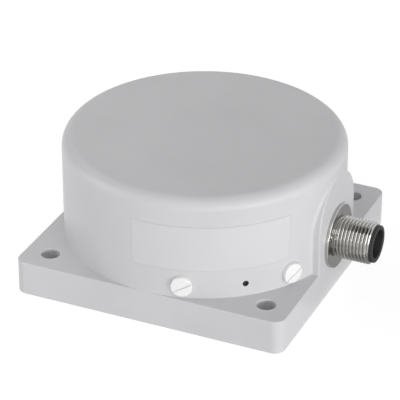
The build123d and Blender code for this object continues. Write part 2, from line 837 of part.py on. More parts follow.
# Bare label foil in its field
with BuildPart() as label_foil:
    foil_inner_radius = body_radius - label_thickness + label_bond
    label_gap_angle = label_gap / body_radius * 180 / pi
    with BuildSketch(radial_plane(label_start_angle + label_gap_angle)):
        with Locations(
            ((foil_inner_radius + body_radius) / 2, (label_bottom + label_top) / 2)
        ):
            Rectangle(body_radius - foil_inner_radius, label_top - label_bottom - 2 * label_gap)
    revolve(
        axis=Axis.Z,
        revolution_arc=label_end_angle - label_start_angle - 2 * label_gap_angle,
    )
label_foil.part.label = "label_foil"

single_pieces = [
    housing,
    base_cover,
    cover_gasket,
    cover_screws,
    board_standoffs,
    circuit_board,
    ferrite_core,
    coil_former,
    coil_winding,
    coil_leads,
    core_holder,
    holder_screws,
    control_chip,
    capacitors,
    voltage_regulator,
    clock_crystal,
    chip_passives,
    light_guide,
    indicator_led,
    connector_shell,
    connector_seal,
    connector_washer,
    connector_nut,
    connector_insert,
    connector_board,
    link_header,
    label_foil,
]
os.makedirs("parts", exist_ok=True)
for piece in single_pieces + numbered_pieces:
    export_step(piece.part, f"parts/{piece.part.label}.step")
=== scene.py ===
import bpy
import bmesh
import json
from math import cos, degrees, pi, radians, sin
from mathutils import Matrix, Vector


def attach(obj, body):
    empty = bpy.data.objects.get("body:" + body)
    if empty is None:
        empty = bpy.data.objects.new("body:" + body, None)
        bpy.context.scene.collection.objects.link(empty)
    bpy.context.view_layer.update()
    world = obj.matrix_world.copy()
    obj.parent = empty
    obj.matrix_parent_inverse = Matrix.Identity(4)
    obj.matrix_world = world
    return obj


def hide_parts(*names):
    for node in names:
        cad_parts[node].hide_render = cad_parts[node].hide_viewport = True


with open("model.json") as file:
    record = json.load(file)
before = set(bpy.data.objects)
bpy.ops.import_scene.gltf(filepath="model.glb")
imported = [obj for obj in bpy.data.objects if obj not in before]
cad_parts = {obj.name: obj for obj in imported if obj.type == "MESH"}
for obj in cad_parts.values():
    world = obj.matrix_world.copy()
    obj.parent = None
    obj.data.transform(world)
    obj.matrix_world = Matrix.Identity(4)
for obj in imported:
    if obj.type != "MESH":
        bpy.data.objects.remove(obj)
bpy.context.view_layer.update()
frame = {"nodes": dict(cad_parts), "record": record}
scene = bpy.context.scene
scene.view_settings.view_transform = "Standard"
mm = 0.001  # pieces are modelled in millimetres and scaled to metres when they are finished

# All in millimetres
weld = 0.0005  # points of a cut piece that are closer than this become one
poleGap = 0.00001  # the same for a turned form, whose poles are many points at first
touch = 0.01  # how exactly a place is met where edges are picked by it
past = 1.0  # how far a cutting tool runs past what it cuts


# Camera, solved from the outlines of the plate, the round body and the holes
camera = {
    "azimuth": 23.87,
    "elevation": 29.82,
    "roll": 0.17,
    "distance": 0.6568,
    "target": (0, 0, 0.015),
    "lens": 208.6,
    "shift": (-0.0120, 0.0219),  # the photo frames the object a little right of and below its middle
    "clip": (0.01, 20),
}


def makeCamera():
    azimuth, elevation = radians(camera["azimuth"]), radians(camera["elevation"])
    back = Vector((sin(azimuth) * cos(elevation), -cos(azimuth) * cos(elevation), sin(elevation)))
    data = bpy.data.cameras.new("camera")
    data.lens = camera["lens"]
    data.shift_x, data.shift_y = camera["shift"]
    data.clip_start, data.clip_end = camera["clip"]
    viewer = bpy.data.objects.new("camera", data)
    viewer.location = Vector(camera["target"]) + back * camera["distance"]
    turned = (-back).to_track_quat("-Z", "Y").to_matrix() @ Matrix.Rotation(radians(camera["roll"]), 3, "Z")
    viewer.rotation_euler = turned.to_euler()
    scene.collection.objects.link(viewer)
    scene.camera = viewer


makeCamera()
print("camera placed")


# Modelling helpers: forms are bmeshes in millimetres, along their own Z until they are placed
def arcPoints(centre, radius, start, end, steps):
    # points of an arc in a profile, angles in degrees from the profile's first axis
    turns = [radians(start + (end - start) * i / steps) for i in range(steps + 1)]
    return [(centre[0] + radius * cos(t), centre[1] + radius * sin(t)) for t in turns]


def lathe(profile, steps):
    # a closed profile of (radius, height) turned about Z
    form = bmesh.new()
    ring = [form.verts.new((radius, 0, height)) for radius, height in profile]
    edges = [form.edges.new((ring[i - 1], ring[i])) for i in range(len(ring))]
    edges = [e for e in edges if max(abs(v.co.x) for v in e.verts) > poleGap]
    bmesh.ops.spin(
        form, geom=ring + edges, cent=(0, 0, 0), axis=(0, 0, 1), dvec=(0, 0, 0),
        angle=2 * pi, steps=steps, use_merge=True, use_duplicate=False,
    )
    bmesh.ops.remove_doubles(form, verts=form.verts, dist=poleGap)
    bmesh.ops.dissolve_degenerate(form, edges=form.edges, dist=poleGap)
    bmesh.ops.recalc_face_normals(form, faces=form.faces)
    return form


def rod(radius, start, end, steps=64):
    return lathe([(0, start), (radius, start), (radius, end), (0, end)], steps)


def sweep(corners, angle, steps, climb=0.0):
    # an outline of (radius, height) corners swept part of the way or many times round Z, with closed ends
    form = bmesh.new()
    ring = [form.verts.new((radius, 0, height)) for radius, height in corners]
    edges = [form.edges.new((ring[i - 1], ring[i])) for i in range(len(ring))]
    bmesh.ops.spin(
        form, geom=ring + edges, cent=(0, 0, 0), axis=(0, 0, 1), dvec=(0, 0, climb / steps),
        angle=angle, steps=steps, use_merge=False, use_duplicate=False,
    )
    bmesh.ops.holes_fill(form, edges=[e for e in form.edges if e.is_boundary], sides=len(ring))
    bmesh.ops.recalc_face_normals(form, faces=form.faces)
    return form


def prism(outline, depth):
    # a flat outline raised along Z
    form = bmesh.new()
    base = form.faces.new([form.verts.new((x, y, 0)) for x, y in outline])
    raised = bmesh.ops.extrude_face_region(form, geom=[base])
    moved = [g for g in raised["geom"] if isinstance(g, bmesh.types.BMVert)]
    bmesh.ops.translate(form, verts=moved, vec=(0, 0, depth))
    bmesh.ops.recalc_face_normals(form, faces=form.faces)
    return form


def block(width, depth, height):
    form = bmesh.new()
    bmesh.ops.create_cube(form, size=1)
    bmesh.ops.scale(form, vec=(width, depth, height), verts=form.verts)
    return form


def roundEdges(form, edges, radius, segments):
    bmesh.ops.bevel(
        form, geom=edges, offset=radius, offset_type="OFFSET", segments=segments,
        profile=0.5, affect="EDGES", clamp_overlap=True, material=-1,
    )


def wallFrame(angle, radius, height):
    # a place on the round wall: X along the wall, Y up, Z outwards
    a = radians(angle)
    turned = Matrix(((-sin(a), 0, cos(a)), (cos(a), 0, sin(a)), (0, 1, 0))).to_4x4()
    return Matrix.Translation((radius * cos(a), radius * sin(a), height)) @ turned


def sideFrame(x, height):
    # a place over the plate's +X side: X along +Y, Y up, Z outwards
    turned = Matrix(((0, 0, 1), (1, 0, 0), (0, 1, 0))).to_4x4()
    return Matrix.Translation((x, 0, height)) @ turned


def connectorFrame(x=0.0):
    # a place on the connector's axis
    return sideFrame(x, housing["connectorHeight"])


def placed(form, place):
    form.transform(place)
    return form


def rodRing(radius, start, end, circle, angles, height=0.0, steps=64):
    # equal upright rods round a circle
    places = [Vector((circle * cos(radians(a)), circle * sin(radians(a)), height)) for a in angles]
    return [placed(rod(radius, start, end, steps), Matrix.Translation(place)) for place in places]


def asObject(name, form):
    mesh = bpy.data.meshes.new(name)
    form.to_mesh(mesh)
    form.free()
    made = bpy.data.objects.new(name, mesh)
    scene.collection.objects.link(made)
    return made


def joined(forms):
    # several forms that don't touch, as one object for a cut
    whole = bmesh.new()
    for form in forms:
        scrap = bpy.data.meshes.new("scrap")
        form.to_mesh(scrap)
        form.free()
        whole.from_mesh(scrap)
        bpy.data.meshes.remove(scrap)
    return asObject("tool", whole)


def combine(base, tool, operation):
    modifier = base.modifiers.new("combine", "BOOLEAN")
    modifier.operation = operation
    modifier.solver = "EXACT"
    modifier.object = tool
    bpy.context.view_layer.update()
    evaluated = base.evaluated_get(bpy.context.evaluated_depsgraph_get())
    mesh = bpy.data.meshes.new_from_object(evaluated)
    base.modifiers.clear()
    base.data = mesh
    bpy.data.objects.remove(tool)


def dropSlivers(mesh):
    # welds the points that the cuts leave almost on top of each other
    form = bmesh.new()
    form.from_mesh(mesh)
    bmesh.ops.remove_doubles(form, verts=form.verts, dist=weld)
    bmesh.ops.dissolve_degenerate(form, edges=form.edges, dist=weld)
    form.to_mesh(mesh)
    form.free()


def finishPiece(piece, body, slot, replaced, crease=32):
    # to metres, smooth where the surface is round, on its body
    mesh = piece.data
    dropSlivers(mesh)
    mesh.transform(Matrix.Scale(mm, 4))
    mesh.shade_smooth()
    mesh.set_sharp_from_angle(angle=radians(crease))
    weighted = piece.modifiers.new("normals", "WEIGHTED_NORMAL")
    weighted.keep_sharp = True
    weighted.weight = 60  # over 50, so that large faces count for more
    mesh.materials.clear()
    mesh.materials.append(finish[slot])
    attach(piece, body)
    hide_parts(replaced)
    print("made", piece.name)


# Materials
def newMaterial(name):
    material = bpy.data.materials.new(name)
    material.use_nodes = True
    tree = material.node_tree
    coordinates = tree.nodes.new("ShaderNodeTexCoord")
    return material, tree, tree.nodes["Principled BSDF"], coordinates.outputs["Object"]


def addNoise(tree, coordinates, scale, detail=3, stretch=None):
    noise = tree.nodes.new("ShaderNodeTexNoise")
    noise.inputs["Scale"].default_value = scale
    noise.inputs["Detail"].default_value = detail
    if stretch:
        mapping = tree.nodes.new("ShaderNodeMapping")
        mapping.inputs["Scale"].default_value = stretch
        tree.links.new(coordinates, mapping.inputs["Vector"])
        coordinates = mapping.outputs["Vector"]
    tree.links.new(coordinates, noise.inputs["Vector"])
    return noise.outputs["Fac"]


noiseSpan = (0.3, 0.7)  # where nearly all of a noise's values lie


def addRamp(tree, factor, low, high, span=noiseSpan):
    ramp = tree.nodes.new("ShaderNodeValToRGB")
    ramp.color_ramp.elements[0].position = span[0]
    ramp.color_ramp.elements[0].color = (*low, 1)
    ramp.color_ramp.elements[1].position = span[1]
    ramp.color_ramp.elements[1].color = (*high, 1)
    tree.links.new(factor, ramp.inputs["Fac"])
    return ramp.outputs["Color"]


def addRange(tree, factor, low, high):
    spread = tree.nodes.new("ShaderNodeMapRange")
    spread.inputs["From Min"].default_value = noiseSpan[0]
    spread.inputs["From Max"].default_value = noiseSpan[1]
    spread.inputs["To Min"].default_value = low
    spread.inputs["To Max"].default_value = high
    tree.links.new(factor, spread.inputs["Value"])
    return spread.outputs["Result"]


def addBump(tree, shader, height, strength, distance):
    bump = tree.nodes.new("ShaderNodeBump")
    bump.inputs["Strength"].default_value = strength
    bump.inputs["Distance"].default_value = distance
    tree.links.new(height, bump.inputs["Height"])
    tree.links.new(bump.outputs["Normal"], shader.inputs["Normal"])


plastic = {
    "flow": 45,
    "patches": 160,
    "glossier": 0.03,
    "duller": 0.04,
    "ior": 1.49,
}


def mouldedPlastic(name, colour, roughness, spread=0.03, grain=2600, grainDepth=0.00002, strength=0.25):
    # a faint flow of the moulding in colour and gloss, over a fine eroded grain
    material, tree, shader, coordinates = newMaterial(name)
    flow = addNoise(tree, coordinates, plastic["flow"], detail=4)
    low = [c * (1 - spread) for c in colour]
    high = [min(c * (1 + spread), 1) for c in colour]
    tree.links.new(addRamp(tree, flow, low, high), shader.inputs["Base Color"])
    patches = addNoise(tree, coordinates, plastic["patches"], detail=3)
    gloss = addRange(tree, patches, roughness - plastic["glossier"], roughness + plastic["duller"])
    tree.links.new(gloss, shader.inputs["Roughness"])
    addBump(tree, shader, addNoise(tree, coordinates, grain, detail=2), strength, grainDepth)
    shader.inputs["IOR"].default_value = plastic["ior"]
    return material


metal = {
    "cloud": 260,
    "darker": 0.93,
    "smear": 900,
    "glossSpan": (0.92, 1.12),
    "rings": 2500,
    "ringStrength": 0.08,
    "ringDepth": 0.00001,
}


def turnedMetal(name, colour, roughness, stretch):
    # fine rings left by turning, with a little smear in the plating's gloss
    material, tree, shader, coordinates = newMaterial(name)
    shader.inputs["Metallic"].default_value = 1.0
    cloud = addNoise(tree, coordinates, metal["cloud"], detail=4)
    low = [c * metal["darker"] for c in colour]
    tree.links.new(addRamp(tree, cloud, low, colour), shader.inputs["Base Color"])
    smear = addNoise(tree, coordinates, metal["smear"], detail=3, stretch=stretch)
    gloss = addRange(tree, smear, *[roughness * share for share in metal["glossSpan"]])
    tree.links.new(gloss, shader.inputs["Roughness"])
    rings = addNoise(tree, coordinates, metal["rings"], detail=2, stretch=stretch)
    addBump(tree, shader, rings, metal["ringStrength"], metal["ringDepth"])
    return material


matt = {
    "dust": 400,
    "paler": 1.8,
    "roughness": (0.6, 0.75),
    "pores": 1800,
    "poreStrength": 0.3,
    "poreDepth": 0.00003,
}


def mattCompound(name, colour):
    # rubber, ferrite or ceramic with dust and fine pores
    material, tree, shader, coordinates = newMaterial(name)
    dust = addNoise(tree, coordinates, matt["dust"], detail=5)
    high = [c * matt["paler"] for c in colour]
    tree.links.new(addRamp(tree, dust, colour, high), shader.inputs["Base Color"])
    tree.links.new(addRange(tree, dust, *matt["roughness"]), shader.inputs["Roughness"])
    pores = addNoise(tree, coordinates, matt["pores"], detail=3)
    addBump(tree, shader, pores, matt["poreStrength"], matt["poreDepth"])
    return material


laminate = {
    "trackScale": 160,
    "trackWidth": 0.09,
    "trackSoftness": 0.2,
    "darker": 0.9,
    "patches": 300,
    "roughness": (0.22, 0.34),
    "trackStrength": 0.4,
    "trackDepth": 0.00003,
}


def boardLaminate(name, mask, trace):
    # green solder mask over crossing copper tracks
    material, tree, shader, coordinates = newMaterial(name)
    tracks = tree.nodes.new("ShaderNodeTexBrick")
    tracks.inputs["Scale"].default_value = laminate["trackScale"]
    tracks.inputs["Mortar Size"].default_value = laminate["trackWidth"]
    tracks.inputs["Mortar Smooth"].default_value = laminate["trackSoftness"]
    tracks.inputs["Color1"].default_value = (*mask, 1)
    tracks.inputs["Color2"].default_value = (*[c * laminate["darker"] for c in mask], 1)
    tracks.inputs["Mortar"].default_value = (*trace, 1)
    tree.links.new(coordinates, tracks.inputs["Vector"])
    tree.links.new(tracks.outputs["Color"], shader.inputs["Base Color"])
    gloss = addRange(tree, addNoise(tree, coordinates, laminate["patches"]), *laminate["roughness"])
    tree.links.new(gloss, shader.inputs["Roughness"])
    addBump(tree, shader, tracks.outputs["Fac"], laminate["trackStrength"], laminate["trackDepth"])
    return material


wire = {
    "bands": 700,
    "waver": 0.6,
    "bandSpan": (0.1, 0.6),
    "metallic": 0.9,
    "patches": 500,
    "roughness": (0.25, 0.4),
    "bandStrength": 0.6,
    "bandDepth": 0.0001,
}


def woundWire(name, colour, grooveShade):
    # layers of enamelled wire, seen as fine bands; the darker part of each band is painted shade in the
    # grooves between the turns
    material, tree, shader, coordinates = newMaterial(name)
    bands = tree.nodes.new("ShaderNodeTexWave")
    bands.bands_direction = "Z"
    bands.inputs["Scale"].default_value = wire["bands"]
    bands.inputs["Distortion"].default_value = wire["waver"]
    tree.links.new(coordinates, bands.inputs["Vector"])
    # painted shade: each band runs from the groove's shaded colour up to the wire's own colour
    shade = addRamp(tree, bands.outputs["Fac"], grooveShade, colour, wire["bandSpan"])
    tree.links.new(shade, shader.inputs["Base Color"])
    shader.inputs["Metallic"].default_value = wire["metallic"]
    gloss = addRange(tree, addNoise(tree, coordinates, wire["patches"]), *wire["roughness"])
    tree.links.new(gloss, shader.inputs["Roughness"])
    addBump(tree, shader, bands.outputs["Fac"], wire["bandStrength"], wire["bandDepth"])
    return material


resin = {
    "cloud": 500,
    "paler": 1.6,
    "duller": 1.6,
    "coat": 0.6,
    "coatRoughness": 0.05,
}


def smokedResin(name, colour, roughness):
    # glossy plastic, dark or tinted all through
    material, tree, shader, coordinates = newMaterial(name)
    depth = addNoise(tree, coordinates, resin["cloud"], detail=2)
    high = [min(c * resin["paler"], 1) for c in colour]
    tree.links.new(addRamp(tree, depth, colour, high), shader.inputs["Base Color"])
    tree.links.new(addRange(tree, depth, roughness, roughness * resin["duller"]), shader.inputs["Roughness"])
    shader.inputs["Coat Weight"].default_value = resin["coat"]
    shader.inputs["Coat Roughness"].default_value = resin["coatRoughness"]
    return material


# One finish for each material slot of the record: a linear colour and a roughness,
# and for turned metal how its rings are stretched
finish = {
    "housing_plastic": mouldedPlastic("lightGreyHousing", (0.608, 0.608, 0.621), 0.42),
    "cover_plastic": mouldedPlastic("greyCover", (0.43, 0.43, 0.44), 0.45),
    "former_plastic": mouldedPlastic("naturalFormer", (0.72, 0.68, 0.55), 0.5),
    "holder_plastic": mouldedPlastic("blackHolder", (0.05, 0.05, 0.052), 0.45),
    "chip_plastic": mouldedPlastic("blackEpoxy", (0.025, 0.025, 0.027), 0.55),
    "plug_plastic": mouldedPlastic(
        "whitePlug", (0.85, 0.85, 0.85), 0.3, spread=0.015, grain=3200, grainDepth=0.00001,
    ),
    "trimmer_plastic": mouldedPlastic("blueTrimmer", (0.04, 0.12, 0.38), 0.4),
    "rotor_plastic": mouldedPlastic("paleRotor", (0.8, 0.8, 0.76), 0.4),
    "insert_plastic": mouldedPlastic("blackInsert", (0.014, 0.014, 0.015), 0.56, spread=0.1),
    "label_film": mouldedPlastic(
        "bareLabel", (0.633, 0.633, 0.645), 0.36, spread=0.012, grain=3400, grainDepth=0.000008,
    ),
    "seal_rubber": mattCompound("blackRubber", (0.02, 0.02, 0.02)),
    "screw_steel": turnedMetal("zincSteel", (0.62, 0.62, 0.63), 0.32, (1, 1, 8)),
    "brass": turnedMetal("turnedBrass", (0.8, 0.6, 0.3), 0.28, (1, 1, 8)),
    "can_aluminium": turnedMetal("drawnAluminium", (0.78, 0.78, 0.79), 0.3, (1, 1, 8)),
    "nickel_plated": turnedMetal("nickelPlating", (0.49, 0.485, 0.465), 0.13, (9, 1, 1)),
    "contact_gold": turnedMetal("goldPlating", (0.95, 0.72, 0.34), 0.2, (9, 1, 1)),
    "board_laminate": boardLaminate("greenBoard", (0.012, 0.16, 0.05), (0.05, 0.3, 0.1)),
    "ferrite": mattCompound("darkFerrite", (0.05, 0.05, 0.055)),
    "chip_ceramic": mattCompound("sinteredCeramic", (0.25, 0.17, 0.1)),
    # the second colour is painted shade for the grooves between the turns
    "copper_wire": woundWire("enamelledCopper", (0.75, 0.3, 0.13), (0.25, 0.08, 0.03)),
    "light_guide_plastic": smokedResin("smokedGuide", (0.008, 0.008, 0.009), 0.08),
    "led_resin": smokedResin("yellowResin", (0.75, 0.5, 0.08), 0.1),
}
print("materials made")


# Housing: plate, round body and connector boss in one moulding, hollow from below
housing = {
    "side": 80.0,
    "plateHeight": 10.0,
    "cornerRadius": 3.2,
    "edgeRadius": 0.22,
    "bodyRadius": 39.9,
    "bodyHeight": 40.0,
    "topRadius": 3.5,
    "holeSpacing": 65.0,
    "holeRadius": 2.65,
    "holeChamfer": 0.15,
    "bossHalfWidth": 13.0,
    "bossArcHeight": 22.0,
    "bossEdgeRadius": 0.35,
    "bossDepth": 10.0,
    "blendRadius": 0.9,
    "blendSkin": 0.004,  # how far the blend's surface lies inside the two forms that it joins
    "blendReach": 0.4,  # how far its body reaches into them
    "cavityRadius": 35.9,
    "cavityTop": 37.5,
    "pocketRadius": 38.0,
    "pocketHeight": 3.7,
    "boardTop": 9.6,
    "postRadius": 4.0,
    "postCircle": 32.4,  # radius of the circle that the posts stand on
    "postAngles": (28, 102, 180, 256),
    "studRadius": 1.5,
    "studDepth": 6.0,
    "holderPostRadius": 3.0,
    "holderCircle": 31.5,
    "holderAngles": (80, 200, 320),
    "holderHeight": 26.0,
    "holderScrewRadius": 1.25,
    "holderScrewDepth": 8.0,
    "padRadius": 4.0,
    "padInner": 35.0,
    "padLength": 4.0,
    "connectorHeight": 16.0,
    "connectorPadRadius": 10.5,
    "connectorPadX": 34.5,
    "connectorHole": 6.1,
    "sealPocketRadius": 7.49,
    "sealPocketX": 39.2,
}

# What stands in the wall comes first, because the housing's openings follow it
plug = {
    "angles": (-75, -30),
    "slotTurns": (29, 30),  # how each slot stands, read from the photo
    "height": 13.8,
    "seatRadius": 39.4,
    "headRadius": 3.0,
    "headHeight": 1.9,
    "crown": 0.12,
    "crownSteps": 5,
    "rimRadius": 0.5,
    "shankRadius": 2.0,
    "shankEnd": 35.0,
    "slotWidth": 1.0,
    "slotDepth": 0.55,
    "seatClearance": 0.06,
    "boreRadius": 2.06,
    "grooveRadius": 2.82,
    "grooveStart": 38.5,
}

lightGuide = {
    "angle": -50,
    "radius": 0.85,
    "holeRadius": 0.88,
    "collarRadius": 1.6,
    "collarStart": 34.4,
    "collarEnd": 35.7,
    "dome": 0.06,
    "domeTop": 0.01,  # what is left of the dome's height at the edge of its flatter middle
    "domeShare": 0.6,  # the middle's share of the radius
}

label = {
    "start": -95.5,
    "end": -31.0,
    "bottom": 18.5,
    "top": 32.0,
    "depth": 0.1,
    "bond": 0.01,  # thickness of the glue under the film
    "gap": 0.03,
    "topGap": 0.16,
    "steps": 130,
}


def wallSector(inner, outer, bottom, top, start, end, steps):
    # a curved slab that follows the round wall
    corners = [(inner, bottom), (outer, bottom), (outer, top), (inner, top)]
    form = sweep(corners, radians(end - start), steps)
    return placed(form, Matrix.Rotation(radians(start), 4, "Z"))


def heightSpan(edge):
    return abs(edge.verts[0].co.z - edge.verts[1].co.z)


def plateForm():
    h = housing
    slab = block(h["side"], h["side"], h["plateHeight"])
    form = placed(slab, Matrix.Translation((0, 0, h["plateHeight"] / 2)))
    upright = [e for e in form.edges if heightSpan(e) > h["plateHeight"] / 2]
    roundEdges(form, upright, h["cornerRadius"], segments=14)
    rims = [e for e in form.edges if heightSpan(e) < touch]
    roundEdges(form, rims, h["edgeRadius"], segments=3)
    return form


def bodyForm():
    h = housing
    foot = h["plateHeight"] / 2
    middle = (h["bodyRadius"] - h["topRadius"], h["bodyHeight"] - h["topRadius"])
    profile = [(0, foot), (h["bodyRadius"], foot)]
    profile += arcPoints(middle, h["topRadius"], 0, 90, steps=14)
    profile += [(0, h["bodyHeight"])]
    return lathe(profile, steps=360)


def bossForm():
    h = housing
    across, foot = h["bossHalfWidth"], h["plateHeight"] / 2
    arch = arcPoints((0, h["bossArcHeight"]), across, 0, 180, steps=64)
    form = prism([(across, foot)] + arch + [(-across, foot)], h["bossDepth"])
    front = [e for e in form.edges if min(v.co.z for v in e.verts) > h["bossDepth"] - touch]
    roundEdges(form, front, h["bossEdgeRadius"], segments=6)
    return placed(form, sideFrame(h["side"] / 2 - h["bossDepth"], 0))


def ballCentre(y, outY, away):
    # how far out along X a ball lies against the round wall, beside the boss at y
    return ((housing["bodyRadius"] + housing["blendRadius"]) ** 2 - (y + away * outY) ** 2) ** 0.5


def ballAway(y, outY, spine, halvings=40):
    # how far from the boss's outline the ball's centre is where it rolls on the boss's rounded edge
    edge, ball = housing["bossEdgeRadius"], housing["blendRadius"]
    low, high = -edge, ball
    for _ in range(halvings):
        away = (low + high) / 2
        reach = (away + edge) ** 2 + (ballCentre(y, outY, away) - spine) ** 2
        low, high = (low, away) if reach > (edge + ball) ** 2 else (away, high)
    return away


def blendRing(y, z, outY, outZ, steps=8):
    # one cross-section of the blend: an arc of the ball, closed inside the wall and the boss
    h = housing
    ball, edge, reach = h["blendRadius"], h["bossEdgeRadius"], h["blendReach"]
    spine = h["side"] / 2 - edge  # X of the line that the boss's edge is rounded about
    away = ball
    toBoss = Vector((0, -outY, -outZ))
    if ballCentre(y, outY, ball) > spine:
        away = ballAway(y, outY, spine)
        back = away + edge
        toBoss = Vector((spine - ballCentre(y, outY, away), -back * outY, -back * outZ)).normalized()
    centre = Vector((ballCentre(y, outY, away), y + away * outY, z + away * outZ))
    toWall = -Vector((centre.x, centre.y, 0)).normalized()
    opening = toBoss.angle(toWall)
    skin = ball + h["blendSkin"]
    points = [centre + skin * toBoss.slerp(toWall, i / steps) for i in range(steps + 1)]
    points.append(centre + toWall * (ball + reach))
    points.append(centre + (toBoss + toWall).normalized() * (ball / cos(opening / 2) + reach))
    points.append(centre + toBoss * (ball + reach))
    return points


def blendForm(steps=64):
    # the soft inner corner where the boss runs into the round wall, as a rolling ball leaves it
    across, archHeight = housing["bossHalfWidth"], housing["bossArcHeight"]
    foot = housing["plateHeight"] - past
    stations = [(-across, foot, -1, 0)]
    for i in range(steps + 1):
        turn = pi * i / steps
        stations.append((-across * cos(turn), archHeight + across * sin(turn), -cos(turn), sin(turn)))
    stations.append((across, foot, 1, 0))
    form = bmesh.new()
    rings = [[form.verts.new(point) for point in blendRing(*station)] for station in stations]
    for near, far in zip(rings, rings[1:]):
        for i in range(len(near)):
            form.faces.new((near[i - 1], near[i], far[i], far[i - 1]))
    form.faces.new(rings[0])
    form.faces.new(rings[-1])
    bmesh.ops.recalc_face_normals(form, faces=form.faces)
    return form


def cavityTool():
    # the hollow, less the posts and pads that stand in it
    h = housing
    top, pocket, below = h["cavityTop"], h["pocketHeight"], -past
    hollow = asObject("hollow", lathe([
        (0, below), (h["pocketRadius"], below), (h["pocketRadius"], pocket),
        (h["cavityRadius"], pocket), (h["cavityRadius"], top), (0, top),
    ], steps=360))
    posts = rodRing(h["postRadius"], 0, top, h["postCircle"], h["postAngles"], h["boardTop"])
    posts += rodRing(h["holderPostRadius"], 0, top, h["holderCircle"], h["holderAngles"], h["holderHeight"])
    for angle in plug["angles"]:
        pad = rod(h["padRadius"], 0, h["padLength"])
        posts.append(placed(pad, wallFrame(angle, h["padInner"], plug["height"])))
    pad = rod(h["connectorPadRadius"], 0, h["padLength"])
    posts.append(placed(pad, connectorFrame(h["connectorPadX"])))
    combine(hollow, joined(posts), "DIFFERENCE")
    return hollow


def mountingTools():
    # plain holes through the plate, lightly chamfered at both ends
    h = housing
    radius, lip, deep = h["holeRadius"], h["holeChamfer"], h["plateHeight"]
    wide, half = radius + lip, h["holeSpacing"] / 2
    profile = [
        (0, -past), (wide, -past), (wide, 0), (radius, lip),
        (radius, deep - lip), (wide, deep), (wide, deep + past), (0, deep + past),
    ]
    places = [(x, y, 0) for x in (-half, half) for y in (-half, half)]
    return [placed(lathe(profile, steps=64), Matrix.Translation(place)) for place in places]


def plugTools():
    # stepped bores for the plugs: shank, O-ring and head
    bottom, seat, outside = housing["padInner"] - past, plug["seatRadius"], housing["bodyRadius"] + past
    bore, groove, start = plug["boreRadius"], plug["grooveRadius"], plug["grooveStart"]
    head = plug["headRadius"] + plug["seatClearance"]
    profile = [
        (0, bottom), (bore, bottom), (bore, start), (groove, start),
        (groove, seat), (head, seat), (head, outside), (0, outside),
    ]
    return [placed(lathe(profile, steps=72), wallFrame(a, 0, plug["height"])) for a in plug["angles"]]


def connectorTool():
    # the shell's hole, with a pocket for the seal behind the flange
    h = housing
    start, pocket, front = h["connectorPadX"] - past, h["sealPocketX"], h["side"] / 2 + past
    profile = [
        (0, start), (h["connectorHole"], start), (h["connectorHole"], pocket),
        (h["sealPocketRadius"], pocket), (h["sealPocketRadius"], front), (0, front),
    ]
    return placed(lathe(profile, steps=96), connectorFrame())


def holeTools():
    h = housing
    tools = mountingTools() + plugTools()
    guideHole = rod(lightGuide["holeRadius"], h["cavityRadius"] - past, h["bodyRadius"] + past)
    tools.append(placed(guideHole, wallFrame(lightGuide["angle"], 0, plug["height"])))
    tools.append(connectorTool())
    tools += rodRing(
        h["studRadius"], -past, h["studDepth"], h["postCircle"], h["postAngles"], h["boardTop"], steps=32,
    )
    tools += rodRing(
        h["holderScrewRadius"], -past, h["holderScrewDepth"],
        h["holderCircle"], h["holderAngles"], h["holderHeight"], steps=32,
    )
    tools.append(wallSector(
        h["bodyRadius"] - label["depth"], h["bodyRadius"] + past, label["bottom"], label["top"],
        label["start"], label["end"], label["steps"],
    ))
    return joined(tools)


def makeHousing():
    moulding = asObject("sensor_housing", bodyForm())
    for name, form in (("plate", plateForm()), ("boss", bossForm()), ("blend", blendForm())):
        combine(moulding, asObject(name, form), "UNION")
    combine(moulding, cavityTool(), "DIFFERENCE")
    combine(moulding, holeTools(), "DIFFERENCE")
    finishPiece(moulding, "root", "housing_plastic", "housing")


makeHousing()


# Slotted plugs, turned with a rounded rim and a slightly crowned face
def crownPoints(radius, height):
    # the crowned face, from its edge to the middle
    shares = [1 - i / plug["crownSteps"] for i in range(1, plug["crownSteps"] + 1)]
    return [(radius * share, height + plug["crown"] * (1 - share ** 2)) for share in shares]


def makePlug(number):
    radius, rim, seat = plug["headRadius"], plug["rimRadius"], plug["seatRadius"]
    top = seat + plug["headHeight"]
    shoulder = top - plug["crown"]
    shank, shankEnd = plug["shankRadius"], plug["shankEnd"]
    profile = [(0, shankEnd), (shank, shankEnd), (shank, seat), (radius, seat)]
    profile += arcPoints((radius - rim, shoulder - rim), rim, 0, 90, steps=8)
    profile += crownPoints(radius - rim, shoulder)
    head = asObject(f"slotted_plug_{number}", lathe(profile, steps=96))
    slotLength = 3 * radius
    slot = block(slotLength, plug["slotWidth"], 2 * plug["slotDepth"])
    turn = Matrix.Rotation(radians(plug["slotTurns"][number - 1]), 4, "Z")
    combine(head, asObject("slot", placed(slot, Matrix.Translation((0, 0, top)) @ turn)), "DIFFERENCE")
    head.data.transform(wallFrame(plug["angles"][number - 1], 0, plug["height"]))
    finishPiece(head, f"plug_{number}_turned", "plug_plastic", f"plug_{number}")


for number in (1, 2):
    makePlug(number)


# Smoked light guide, flush in the wall
def makeLightGuide():
    g = lightGuide
    radius, face = g["radius"], housing["bodyRadius"]
    profile = [
        (0, g["collarStart"]), (g["collarRadius"], g["collarStart"]), (g["collarRadius"], g["collarEnd"]),
        (radius, g["collarEnd"]), (radius, face - g["dome"]),
        (radius * g["domeShare"], face - g["domeTop"]), (0, face),
    ]
    guide = placed(lathe(profile, steps=48), wallFrame(g["angle"], 0, plug["height"]))
    finishPiece(asObject("light_window", guide), "root", "light_guide_plastic", "light_guide")


makeLightGuide()


# Bare label film in its shallow field
def makeLabel():
    wall = housing["bodyRadius"]
    sideGap = degrees(label["gap"] / wall)
    film = wallSector(
        wall - label["depth"] + label["bond"], wall,
        label["bottom"] + label["gap"], label["top"] - label["topGap"],
        label["start"] + sideGap, label["end"] - sideGap, label["steps"],
    )
    finishPiece(asObject("bare_label", film), "root", "label_film", "label_foil")


makeLabel()


